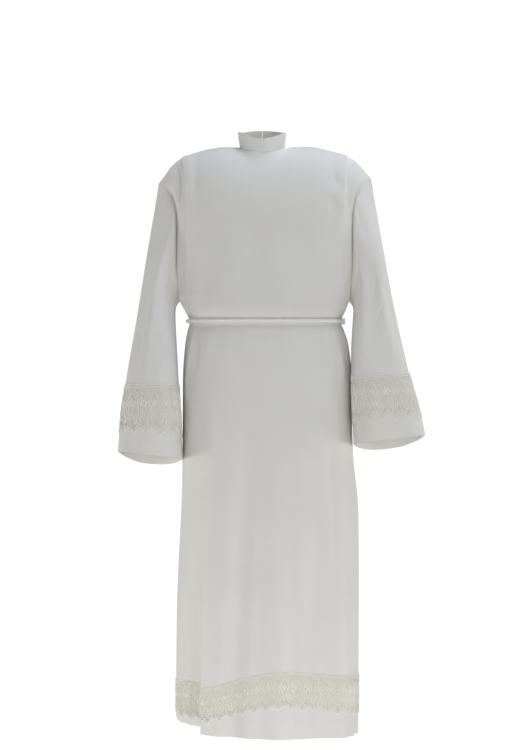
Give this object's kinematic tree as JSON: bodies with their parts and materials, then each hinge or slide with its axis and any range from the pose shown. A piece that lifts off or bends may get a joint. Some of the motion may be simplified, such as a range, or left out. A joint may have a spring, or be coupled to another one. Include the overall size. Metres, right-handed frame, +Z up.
{
  "type": "liturgical alb",
  "caption": "White ankle-length alb in its worn, hollow shape, with a band collar, shoulder pleats, wide sleeves, lace bands above cuffs and hem, and a thin cord belt.",
  "frame": {"origin": "middle of the neck opening at the height of the shoulders' top, where the wearer holds the garment up", "axes": "+Z up along the wearer, the front faces -Y, +X to the wearer's left"},
  "size_m": [0.741, 0.3678, 1.4733],
  "materials": {
    "crepe": "matt white polyester crepe, fine plain weave",
    "lace": "matt cream-white corded guipure lace",
    "braid": "white twisted cord, soft sheen"
  },
  "bodies": {
    "root": {"front": "crepe", "back": "crepe", "sleeve_right": "crepe", "sleeve_left": "crepe", "collar": "crepe", "lace_sleeve_right": "lace", "lace_sleeve_left": "lace", "lace_hem": "lace", "cincture": "braid"}
  },
  "joints": []
}
